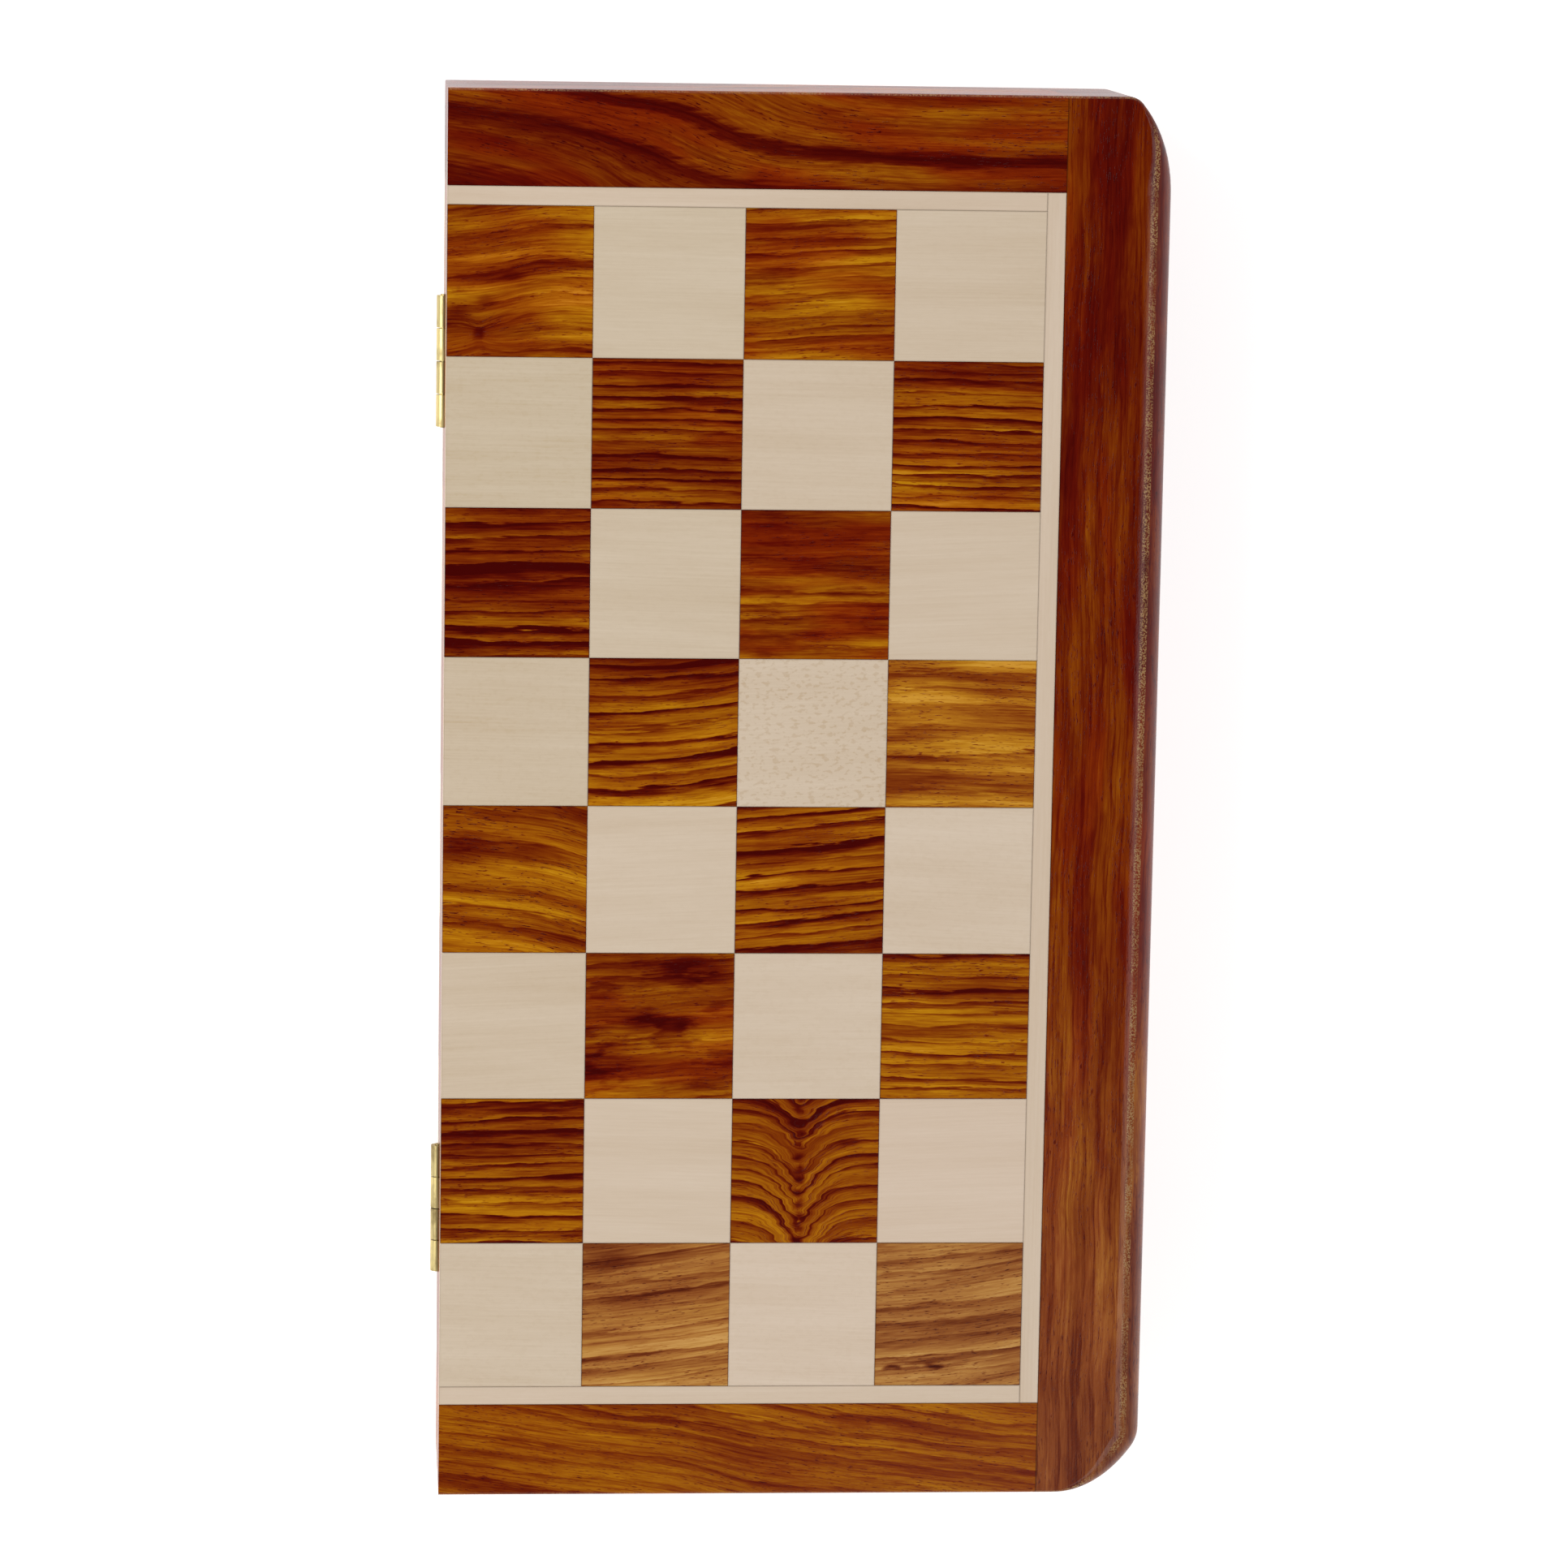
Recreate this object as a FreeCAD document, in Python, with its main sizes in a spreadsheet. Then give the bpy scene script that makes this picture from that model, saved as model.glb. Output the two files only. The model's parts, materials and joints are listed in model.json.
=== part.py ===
"""A folding wooden chess board, closed: two inlaid half boards that hinge together into a flat case.

The frame's origin is the centre of the lower playing face. +Z is up through the closed case, +Y runs along
the fold, and -X is the side that folds. The two halves are mirror images of each other about the plane
where they meet, apart from the colours of their squares and the two leaves of each hinge.
"""
import FreeCAD, Part
import os
import re
from math import sqrt

import Sketcher
from FreeCAD import Placement, Rotation, Vector

# The driving sizes, in millimetres: name, value, and what it measures.
SIZES = [
    ("square", 32.0, "side of a playing square"),
    ("kerf_loss", 1.1, "taken off the squares beside the fold when the board is sawn in two"),
    ("string_width", 4.0, "maple string round the squares"),
    ("stile_width", 23.0, "frame member along the outer side"),
    ("rail_width", 20.4, "frame member across each end"),
    ("hinge_rail_width", 10.0, "wall under the panel along the fold"),
    ("half_height", 21.8, "one half, from its playing face to its rim"),
    ("rim_gap", 0.4, "between the two rims when the case is shut"),
    ("fold_gap", 0.4, "between the two halves when they lie open"),
    ("square_thickness", 3.0, "squares and strings"),
    ("panel_thickness", 3.0, "plywood panel and the groove that holds it"),
    ("groove_depth", 5.0, "groove in the stile and the rails"),
    ("panel_slack", 0.3, "between the panel's edge and the bottom of its groove"),
    ("tenon_shoulder", 5.0, "wood left outside the rail's tenon"),
    ("edge_break", 0.9, "rounding of the end edges of the playing face"),
    ("round_over", 6.0, "rounding of the playing face along the outer side"),
    ("head_corner_radius", 30.7, "plan radius of the sanded corner at the head"),
    ("head_corner_setback", 21.0, "how far down the side the head corner starts"),
    ("head_corner_blend", 4.0, "plan radius where the head corner meets the end"),
    ("foot_corner_radius", 21.45, "plan radius of the sanded corner at the foot"),
    ("foot_corner_setback", 19.0, "how far along the end the foot corner starts"),
    ("foot_corner_blend", 8.0, "plan radius where the foot corner meets the side"),
    ("felt_thickness", 1.0, "lining of the tray"),
    ("felt_margin", 1.5, "bare wood between the lining and the rim"),
    ("magnet_radius", 4.0, "disc magnet in the stile"),
    ("magnet_thickness", 3.0, "disc magnet in the stile"),
    ("magnet_recess", 0.2, "magnet's face below the rim"),
    ("magnet_spacing", 220.0, "between the two magnets of a stile"),
    ("hinge_length", 28.2, "leaf and barrel of a butt hinge"),
    ("hinge_spacing", 186.4, "between the middles of the two hinges"),
    ("leaf_width", 8.0, "from the pin's axis to the leaf's free edge"),
    ("leaf_thickness", 1.1, "brass plate of a leaf"),
    ("leaf_clearance", 0.15, "round a barrel and round a leaf in its mortise"),
    ("knuckle_radius", 1.6, "outside of the hinge barrel"),
    ("knuckle_gap", 0.25, "between neighbouring knuckles"),
    ("pin_radius", 0.75, "hinge pin"),
    ("pin_clearance", 0.05, "radial running clearance of the pin"),
    ("pin_overhang", 0.25, "pin beyond the barrel at each end"),
    ("screw_inset", 5.0, "from the pin's axis to the line of screws"),
    ("screw_pitch", 16.0, "between the two screws of a leaf"),
    ("screw_length", 9.5, "whole wood screw"),
    ("screw_shank_radius", 1.1, "wood screw and its pilot hole"),
    ("screw_tip_radius", 0.2, "end of the wood screw"),
    ("screw_tip_length", 3.0, "tapered end of the wood screw"),
    ("screw_head_land", 0.1, "plate left below the countersink"),
    ("slot_width", 0.6, "screwdriver slot"),
    ("slot_depth", 0.45, "screwdriver slot"),
]

# Sizes that follow from the driving ones, as formulas.
DERIVED = {
    "field_width": "4 * square - kerf_loss",
    "field_length": "8 * square",
    "board_width": "field_width + string_width + stile_width",
    "board_length": "field_length + 2 * string_width + 2 * rail_width",
    "fold_side": "-board_width / 2",
    "frame_side": "board_width / 2 - stile_width",
    "frame_end": "field_length / 2 + string_width",
    "split_height": "half_height + rim_gap / 2",
    "panel_top": "square_thickness + panel_thickness",
    "panel_reach": "frame_end + groove_depth - panel_slack",
    "wall_height": "half_height - panel_top",
    "rail_length": "board_width - stile_width",
    "tray_start": "fold_side + hinge_rail_width",
    "tray_width": "frame_side - tray_start",
    "felt_base": "panel_top + felt_thickness",
    "felt_wall_height": "half_height - felt_margin - felt_base",
    "magnet_depth": "magnet_thickness + magnet_recess",
    "hinge_axis": "fold_side - fold_gap / 2",
    "knuckle_pitch": "(hinge_length + knuckle_gap) / 4",
    "knuckle_length": "knuckle_pitch - knuckle_gap",
    "bore_radius": "pin_radius + pin_clearance",
    "leaf_face": "leaf_thickness - knuckle_radius",
    "leaf_reach": "leaf_width + leaf_clearance",
    "mortise_length": "hinge_length + 2 * pin_overhang + 2 * leaf_clearance",
    "mortise_depth": "knuckle_radius - rim_gap / 2",
    "relief_radius": "knuckle_radius + leaf_clearance",
    "head_height": "leaf_thickness - screw_head_land",
    "head_radius": "screw_shank_radius + head_height",
    "pilot_depth": "screw_length - leaf_face - rim_gap / 2",
}

KNUCKLES = 4
FILES = 4
ROWS = 8
HALVES = ("lower", "upper")
SLOT_TURN = 37.0

document = FreeCAD.newDocument("FoldingChessBoard")
sheet = document.addObject("Spreadsheet::Sheet", "Sizes")
for row, (alias, value, meaning) in enumerate(SIZES, start=1):
    sheet.set(f"A{row}", alias)
    sheet.set(f"B{row}", str(value))
    sheet.set(f"C{row}", meaning)
    sheet.setAlias(f"B{row}", alias)
document.recompute()

pieces = []


# --- formulas -----------------------------------------------------------------------------------------

def formula(words):
    """Spell a formula out in the sheet's own cells."""
    def spell(match):
        name = match.group(0)
        if name in DERIVED:
            return "(" + formula(DERIVED[name]) + ")"
        return "Sizes." + name
    return re.sub(r"[a-z_]+", spell, str(words))


def number(words):
    """What a formula comes to with the sheet's present values."""
    def look_up(match):
        name = match.group(0)
        value = number(DERIVED[name]) if name in DERIVED else getattr(sheet, name)
        return f"({value})"
    return float(FreeCAD.Units.Quantity(re.sub(r"[a-z_]+", look_up, str(words))))


def bind(item, **formulas):
    """Tie properties of an object to formulas."""
    for name, words in formulas.items():
        item.setExpression(name, formula(words))


def place(item, x=0, y=0, z=0, turn=None):
    """Turn an object about its own origin and tie its place to formulas."""
    if turn:
        item.Placement = Placement(Vector(), turn)
    for axis, words in zip("xyz", (x, y, z)):
        item.setExpression(f"Placement.Base.{axis}", formula(words))
    return item


def piece(item, label):
    """Give a finished sub-part its own name and list it for export."""
    item.Label = label
    pieces.append(item)
    return item


# --- simple solids ------------------------------------------------------------------------------------

def block(name, corner, size):
    """A rectangular block from its lowest corner and its size along X, Y and Z."""
    item = document.addObject("Part::Box", name)
    bind(item, Length=size[0], Width=size[1], Height=size[2])
    return place(item, *corner)


def rod(name, radius, length, x=0, y=0, z=0, along_y=False):
    """A round rod that rises from the given point, or runs along +Y from it."""
    item = document.addObject("Part::Cylinder", name)
    bind(item, Radius=radius, Height=length)
    turn = Rotation(Vector(1, 0, 0), -90) if along_y else None
    return place(item, x, y, z, turn)


def taper(name, low_radius, high_radius, length, x=0, y=0, z=0):
    """A cone frustum that rises from the given point."""
    item = document.addObject("Part::Cone", name)
    bind(item, Radius1=low_radius, Radius2=high_radius, Height=length)
    return place(item, x, y, z)


def fused(name, parts):
    item = document.addObject("Part::MultiFuse", name)
    item.Shapes = parts
    return item


def cut(name, base, tool):
    item = document.addObject("Part::Cut", name)
    item.Base = base
    item.Tool = tool
    return item


def grouped(name, parts):
    """Separate solids of one kind that share a node."""
    item = document.addObject("Part::Compound", name)
    item.Links = parts
    return item


def mirrored(name, source, normal, height=0):
    """The mirror image of a piece, in a plane through the Z axis at a height."""
    item = document.addObject("Part::Mirroring", name)
    item.Source = source
    item.Normal = normal
    item.setExpression("Base.z", formula(height))
    return item


# --- bodies and sketches ------------------------------------------------------------------------------

def new_body(name):
    return document.addObject("PartDesign::Body", name)


def new_sketch(body, name, role, offset=0):
    """A sketch on one of the body's own origin planes, or on a plane parallel to it."""
    sketch = body.newObject("Sketcher::SketchObject", name)
    plane = next(item for item in body.Origin.OriginFeatures if item.Role == role)
    sketch.AttachmentSupport = [(plane, "")]
    sketch.MapMode = "FlatFace"
    sketch.setExpression("AttachmentOffset.Base.z", formula(offset))
    return sketch


def dimension(sketch, kind, words, *where):
    """Add a dimension to a sketch and tie it to a formula."""
    index = sketch.addConstraint(Sketcher.Constraint(kind, *where, number(words)))
    name = f"{kind}_{index}"
    sketch.renameConstraint(index, name)
    sketch.setExpression(f"Constraints.{name}", formula(words))


def add_outline(sketch, corners):
    """A closed outline of straight sides, each corner tied to its two coordinates."""
    first = sketch.GeometryCount
    points = [Vector(number(x), number(y), 0) for x, y in corners]
    for start, end in zip(points, points[1:] + points[:1]):
        sketch.addGeometry(Part.LineSegment(start, end), False)
    count = len(corners)
    for index, (x, y) in enumerate(corners):
        side = first + index
        following = first + (index + 1) % count
        sketch.addConstraint(Sketcher.Constraint("Coincident", side, 2, following, 1))
        dimension(sketch, "DistanceX", x, -1, 1, side, 1)
        dimension(sketch, "DistanceY", y, -1, 1, side, 1)


def add_rectangle(sketch, left, right, low, high):
    add_outline(sketch, [(left, low), (right, low), (right, high), (left, high)])


def add_circle(sketch, x, y, radius):
    circle = Part.Circle(Vector(number(x), number(y), 0), Vector(0, 0, 1), number(radius))
    index = sketch.addGeometry(circle, False)
    dimension(sketch, "DistanceX", x, -1, 1, index, 3)
    dimension(sketch, "DistanceY", y, -1, 1, index, 3)
    dimension(sketch, "Radius", radius, index)


def pad(body, name, sketch, length):
    item = body.newObject("PartDesign::Pad", name)
    item.Profile = sketch
    bind(item, Length=length)
    return item


def pocket(body, name, sketch, depth, side="down"):
    """Cut a sketch into the body: down against its normal, up along it, or to both sides alike."""
    item = body.newObject("PartDesign::Pocket", name)
    item.Profile = sketch
    item.Reversed = side == "up"
    item.Midplane = side == "both"
    bind(item, Length=depth)
    return item


def edge_at(shape, point):
    """The number of the edge whose middle is nearest a point."""
    def distance(edge):
        middle = edge.valueAt((edge.FirstParameter + edge.LastParameter) / 2)
        return (middle - point).Length
    edges = shape.Edges
    return 1 + min(range(len(edges)), key=lambda index: distance(edges[index]))


# --- the wooden frame ---------------------------------------------------------------------------------

def end_rail(name):
    """A rail across the head: a grooved length with a stub tenon, in the groove's line, at the stile end.

    Its own X runs along it from the fold, Y runs out from the squares and Z rises from the playing face.
    """
    body = new_body(name)
    profile = new_sketch(body, name + "_profile", "YZ_Plane")
    add_outline(profile, [
        (0, 0),
        ("rail_width", 0),
        ("rail_width", "half_height"),
        (0, "half_height"),
        (0, "panel_top"),
        ("groove_depth", "panel_top"),
        ("groove_depth", "square_thickness"),
        (0, "square_thickness"),
    ])
    pad(body, name + "_length", profile, "rail_length")
    tenon = new_sketch(body, name + "_tenon_profile", "YZ_Plane", "rail_length")
    add_rectangle(tenon, "groove_depth", "rail_width - tenon_shoulder", "square_thickness", "panel_top")
    tenoned = pad(body, name + "_tenon", tenon, "groove_depth")
    document.recompute()
    outer_edge = Vector(number("rail_length") / 2, number("rail_width"), 0)
    rounding = body.newObject("PartDesign::Fillet", name + "_edge_break")
    rounding.Base = (tenoned, [f"Edge{edge_at(tenoned.Shape, outer_edge)}"])
    bind(rounding, Radius="edge_break")
    return place(body, "fold_side", "frame_end", 0)


def stile_corners():
    """The points of the stile's plan outline and the centres of its four arcs.

    The head corner's arc leaves the side smoothly and runs into a small blend before the end. The foot
    corner's arc leaves the end smoothly and runs into a blend before the side. Each blend touches the big
    arc from inside, so its centre lies on the big arc's radius through the point where they meet.
    """
    width = number("stile_width")
    end = number("board_length") / 2
    head_radius = number("head_corner_radius")
    head_blend = number("head_corner_blend")
    foot_radius = number("foot_corner_radius")
    foot_blend = number("foot_corner_blend")

    head = Vector(width - head_radius, end - number("head_corner_setback"), 0)
    rise = end - head_blend - head.y
    head_small = Vector(head.x + sqrt((head_radius - head_blend) ** 2 - rise ** 2), end - head_blend, 0)
    head_join = head + (head_small - head).normalize() * head_radius

    foot = Vector(width - number("foot_corner_setback"), foot_radius - end, 0)
    run = width - foot_blend - foot.x
    foot_small = Vector(width - foot_blend, foot.y - sqrt((foot_radius - foot_blend) ** 2 - run ** 2), 0)
    foot_join = foot + (foot_small - foot).normalize() * foot_radius

    points = [
        Vector(0, -end, 0),
        Vector(foot.x, -end, 0),
        foot_join,
        Vector(width, foot_small.y, 0),
        Vector(width, head.y, 0),
        head_join,
        Vector(head_small.x, end, 0),
        Vector(0, end, 0),
    ]
    centres = {1: foot, 2: foot_small, 4: head, 5: head_small}
    return points, centres


def stile_outline(body, name):
    """The sketch of the stile's plan: straight sides and arcs that touch each other smoothly."""
    sketch = new_sketch(body, name, "XY_Plane")
    points, centres = stile_corners()
    count = len(points)
    for index, start in enumerate(points):
        end = points[(index + 1) % count]
        if index in centres:
            centre = centres[index]
            radius = (start - centre).Length
            middle = centre + ((start - centre) + (end - centre)).normalize() * radius
            sketch.addGeometry(Part.Arc(start, middle, end), False)
        else:
            sketch.addGeometry(Part.LineSegment(start, end), False)
    foot_end, foot_arc, foot_small, side, head_arc, head_small, head_end, inner = range(count)
    for first, second in ((foot_end, foot_arc), (foot_arc, foot_small), (foot_small, side),
                          (side, head_arc), (head_arc, head_small), (head_small, head_end)):
        sketch.addConstraint(Sketcher.Constraint("Tangent", first, 2, second, 1))
    sketch.addConstraint(Sketcher.Constraint("Coincident", head_end, 2, inner, 1))
    sketch.addConstraint(Sketcher.Constraint("Coincident", inner, 2, foot_end, 1))
    for level in (foot_end, head_end):
        sketch.addConstraint(Sketcher.Constraint("Horizontal", level))
    for upright in (side, inner):
        sketch.addConstraint(Sketcher.Constraint("Vertical", upright))
    dimension(sketch, "DistanceX", 0, -1, 1, inner, 1)
    dimension(sketch, "DistanceY", "board_length / 2", -1, 1, inner, 1)
    dimension(sketch, "DistanceY", "-board_length / 2", -1, 1, inner, 2)
    dimension(sketch, "DistanceX", "stile_width", -1, 1, side, 1)
    dimension(sketch, "DistanceY", "board_length / 2 - head_corner_setback", -1, 1, side, 2)
    dimension(sketch, "DistanceX", "stile_width - foot_corner_setback", -1, 1, foot_arc, 3)
    dimension(sketch, "Radius", "foot_corner_radius", foot_arc)
    dimension(sketch, "Radius", "foot_corner_blend", foot_small)
    dimension(sketch, "Radius", "head_corner_radius", head_arc)
    dimension(sketch, "Radius", "head_corner_blend", head_small)
    return sketch


def outer_stile(name):
    """The stile: sanded corners in plan, a stopped groove, two magnet seats, and a rounded outer edge.

    Its own X runs out from the squares. The rounding is full along the side and thins to a mere edge
    break by the time it reaches each end.
    """
    body = new_body(name + "_wood")
    pad(body, name + "_block", stile_outline(body, name + "_plan"), "half_height")
    groove = new_sketch(body, name + "_groove_plan", "XY_Plane", "square_thickness")
    add_rectangle(groove, 0, "groove_depth", "tenon_shoulder - board_length / 2",
                  "board_length / 2 - tenon_shoulder")
    pocket(body, name + "_groove", groove, "panel_thickness", side="up")
    seats = new_sketch(body, name + "_magnet_plan", "XY_Plane", "half_height")
    for side in (-1, 1):
        add_circle(seats, "stile_width / 2", f"{side} * magnet_spacing / 2", "magnet_radius")
    pocket(body, name + "_magnet_seats", seats, "magnet_depth")
    document.recompute()

    head_join = stile_corners()[0][5]

    def radius_at(point):
        at_end = abs(abs(point.y) - number("board_length") / 2) < 1e-4
        at_head_join = (point - head_join).Length < 1e-3
        return number("edge_break") if at_end or at_head_join else number("round_over")

    roundings = []
    for index, edge in enumerate(body.Shape.Edges, start=1):
        start, end = edge.valueAt(edge.FirstParameter), edge.valueAt(edge.LastParameter)
        on_face = abs(start.z) < 1e-6 and abs(end.z) < 1e-6
        inner = abs(start.x) < 1e-6 and abs(end.x) < 1e-6
        if on_face and not inner:
            roundings.append((index, radius_at(start), radius_at(end)))
    rounded = document.addObject("Part::Fillet", name)
    rounded.Base = body
    rounded.Edges = roundings
    return place(rounded, "frame_side", 0, 0)


def hinge_rail(name):
    """The wall along the fold, mortised at its rim for both hinges.

    Its own X runs in from the fold and Z rises from the panel. The mortises hold the leaves, and a round
    relief along the barrel lets the knuckles of both halves turn.
    """
    body = new_body(name)
    plan = new_sketch(body, name + "_plan", "XY_Plane")
    add_rectangle(plan, 0, "hinge_rail_width", "-frame_end", "frame_end")
    pad(body, name + "_block", plan, "wall_height")
    mortises = new_sketch(body, name + "_mortise_plan", "XY_Plane", "wall_height")
    for side in (-1, 1):
        middle = f"{side} * hinge_spacing / 2"
        add_rectangle(mortises, 0, "leaf_reach - fold_gap / 2",
                      middle + " - mortise_length / 2", middle + " + mortise_length / 2")
    pocket(body, name + "_mortises", mortises, "mortise_depth")
    for side in (-1, 1):
        # The XZ plane faces -Y, so a sketch's offset along its normal runs the other way.
        barrel = new_sketch(body, f"{name}_relief_{side + 1}", "XZ_Plane", f"{-side} * hinge_spacing / 2")
        add_circle(barrel, "-fold_gap / 2", "wall_height + rim_gap / 2", "relief_radius")
        pocket(body, f"{name}_relief_cut_{side + 1}", barrel, "mortise_length", side="both")
    pilots = new_sketch(body, name + "_pilot_plan", "XY_Plane", "wall_height")
    for side in (-1, 1):
        for end in (-1, 1):
            add_circle(pilots, "screw_inset - fold_gap / 2",
                       f"{side} * hinge_spacing / 2 + {end} * screw_pitch / 2", "screw_shank_radius")
    pocket(body, name + "_pilots", pilots, "pilot_depth")
    return place(body, "fold_side", 0, "panel_top")


# --- what fills and lines a half ----------------------------------------------------------------------

def backing_panel(name):
    """The plywood under the squares, let into the grooves on three sides and open to the fold."""
    return block(name, ("fold_side", "-panel_reach", "square_thickness"),
                 ("rail_length + groove_depth - panel_slack", "2 * panel_reach", "panel_thickness"))


def maple_strings(half):
    """The strings round the squares: one all along the stile, and two that butt against it."""
    side = block(half + "_side_string", ("frame_side - string_width", "-frame_end", 0),
                 ("string_width", "2 * frame_end", "square_thickness"))
    head = block(half + "_head_string", ("fold_side", "field_length / 2", 0),
                 ("field_width", "string_width", "square_thickness"))
    foot = block(half + "_foot_string", ("fold_side", "-frame_end", 0),
                 ("field_width", "string_width", "square_thickness"))
    return {"side_string": side, "head_string": head, "foot_string": foot}


def tray_felts(half):
    """The felt on the tray's floor, and the four strips that stand on it against the walls."""
    floor = block(half + "_floor_felt", ("tray_start", "-frame_end", "panel_top"),
                  ("tray_width", "2 * frame_end", "felt_thickness"))
    felts = {"floor_felt": floor}
    for wall, x in (("hinge", "tray_start"), ("stile", "frame_side - felt_thickness")):
        felts[wall + "_wall_felt"] = block(f"{half}_{wall}_felt", (x, "-frame_end", "felt_base"),
                                           ("felt_thickness", "2 * frame_end", "felt_wall_height"))
    for wall, y in (("head", "frame_end - felt_thickness"), ("foot", "-frame_end")):
        corner = ("tray_start + felt_thickness", y, "felt_base")
        size = ("tray_width - 2 * felt_thickness", "felt_thickness", "felt_wall_height")
        felts[wall + "_wall_felt"] = block(f"{half}_{wall}_felt", corner, size)
    return felts


def stile_magnets(name):
    """Two disc magnets, set a little below the rim so that the pairs never touch."""
    discs = []
    for side in (-1, 1):
        discs.append(rod(f"{name}_disc_{side + 1}", "magnet_radius", "magnet_thickness",
                         "frame_side + stile_width / 2", f"{side} * magnet_spacing / 2",
                         "half_height - magnet_depth"))
    return grouped(name, discs)


def squares_of_rank(half, file_index, dark):
    """The four squares of one colour in the line of eight that lies file_index squares from the fold.

    The dark squares of the upper half start at the head end beside the fold. Those of the lower half start
    one square further on, so that the colours alternate across the fold when the board lies open.
    """
    shade = "dark" if dark else "light"
    rank = FILES - file_index if half == "upper" else FILES + 1 + file_index
    level = "2 * split_height - square_thickness" if half == "upper" else 0
    beside_fold = file_index == 0
    x = "fold_side" if beside_fold else f"fold_side + {file_index} * square - kerf_loss"
    width = "square - kerf_loss" if beside_fold else "square"
    blocks = []
    for row_index in range(ROWS):
        odd = (file_index + row_index) % 2 == 1
        is_dark = odd if half == "lower" else not odd
        if is_dark == dark:
            y = f"field_length / 2 - {row_index + 1} * square"
            blocks.append(block(f"rank_{rank}_{shade}_{row_index + 1}", (x, y, level),
                                (width, "square", "square_thickness")))
    label = f"rank_{rank}_{shade}_squares"
    piece(grouped(label + "_group", blocks), label)


# --- hinges -------------------------------------------------------------------------------------------

def knuckle_low(index):
    """Where a knuckle starts along the barrel; knuckle 0 is at the head end of the lower leaf."""
    return f"hinge_length / 2 + knuckle_gap - {index + 1} * knuckle_pitch"


def hinge_leaf(name, bore):
    """A leaf with every other knuckle of the barrel, drilled and countersunk for two screws.

    The barrel's axis is the leaf's own Y axis and the plate reaches along +X, tangent to the barrel's
    lower side, so that shut leaves lie parallel.
    """
    plate = block(name + "_plate", (0, "-hinge_length / 2", "-knuckle_radius"),
                  ("leaf_width", "hinge_length", "leaf_thickness"))
    solids = [plate]
    tools = [rod(name + "_bore", bore, "2 * hinge_length", 0, "-hinge_length", 0, along_y=True)]
    for index in range(KNUCKLES):
        low = knuckle_low(index)
        if index % 2 == 0:
            solids.append(rod(f"{name}_knuckle_{index}", "knuckle_radius", "knuckle_length",
                              0, low, 0, along_y=True))
        else:
            tools.append(block(f"{name}_notch_{index}", (0, low + " - knuckle_gap", "-2 * knuckle_radius"),
                               ("relief_radius", "knuckle_length + 2 * knuckle_gap", "4 * knuckle_radius")))
    for side in (-1, 1):
        y = f"{side} * screw_pitch / 2"
        tools.append(rod(f"{name}_hole_{side + 1}", "screw_shank_radius", "leaf_thickness",
                         "screw_inset", y, "-knuckle_radius"))
        tools.append(taper(f"{name}_sink_{side + 1}", "screw_shank_radius", "head_radius", "head_height",
                           "screw_inset", y, "leaf_face - head_height"))
    return cut(name + "_cut", fused(name + "_solid", solids), fused(name + "_tools", tools))


def hinge_screw(name, side, turn):
    """A slotted countersunk wood screw whose head lies flush with the leaf's face."""
    solids = [
        taper(name + "_head", "screw_shank_radius", "head_radius", "head_height", z="-head_height"),
        rod(name + "_shank", "screw_shank_radius", "screw_length - head_height - screw_tip_length",
            z="screw_tip_length - screw_length"),
        taper(name + "_tip", "screw_tip_radius", "screw_shank_radius", "screw_tip_length", z="-screw_length"),
    ]
    slot = block(name + "_slot", ("-2 * head_radius", "-slot_width / 2", "-slot_depth"),
                 ("4 * head_radius", "slot_width", "2 * slot_depth"))
    screw = cut(name + "_cut", fused(name + "_solid", solids), slot)
    upright = Rotation(Vector(0, 0, 1), turn)
    return place(screw, "screw_inset", f"{side} * screw_pitch / 2", "leaf_face", upright)


def butt_hinge(end, side):
    """One brass hinge: a leaf and two screws in each half, and the pin that stays in the lower leaf.

    The upper leaf is the same leaf turned over, which puts its knuckles between the lower leaf's.
    """
    middle = f"{side} * hinge_spacing / 2"
    for half, bore in (("lower", "pin_radius"), ("upper", "bore_radius")):
        over = Rotation(Vector(1, 0, 0), 180) if half == "upper" else None
        name = f"{end}_{half}"
        leaf = hinge_leaf(name + "_leaf", bore)
        screws = []
        for index, screw_side in enumerate((-1, 1)):
            turn = SLOT_TURN * (1 + len(pieces) + index)
            screws.append(hinge_screw(f"{name}_screw_{index}", screw_side, turn))
        piece(place(leaf, "hinge_axis", middle, "split_height", over), f"{end}_hinge_{half}_leaf")
        pair = grouped(name + "_screws", screws)
        piece(place(pair, "hinge_axis", middle, "split_height", over), f"{end}_hinge_{half}_screws")
    pin = rod(f"{end}_pin", "pin_radius", "hinge_length + 2 * pin_overhang", "hinge_axis",
              f"{middle} - hinge_length / 2 - pin_overhang", "split_height", along_y=True)
    piece(pin, f"{end}_hinge_pin")


# --- assembly -----------------------------------------------------------------------------------------

UP = Vector(0, 0, 1)
ALONG_FOLD = Vector(0, 1, 0)

head_rail = end_rail("lower_head_rail")
lower_half = {
    "outer_stile": outer_stile("lower_stile"),
    "head_rail": head_rail,
    "foot_rail": mirrored("lower_foot_rail", head_rail, ALONG_FOLD),
    "hinge_rail": hinge_rail("lower_hinge_rail"),
    "backing_panel": backing_panel("lower_panel"),
    "magnets": stile_magnets("lower_magnets"),
    **maple_strings("lower"),
    **tray_felts("lower"),
}
for role, item in lower_half.items():
    piece(mirrored("upper_" + role, item, UP, "split_height"), "upper_" + role)
    piece(item, "lower_" + role)

for half in HALVES:
    for file_index in range(FILES):
        for dark in (True, False):
            squares_of_rank(half, file_index, dark)

butt_hinge("head", 1)
butt_hinge("foot", -1)
document.recompute()


# --- checks and export --------------------------------------------------------------------------------

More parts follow.
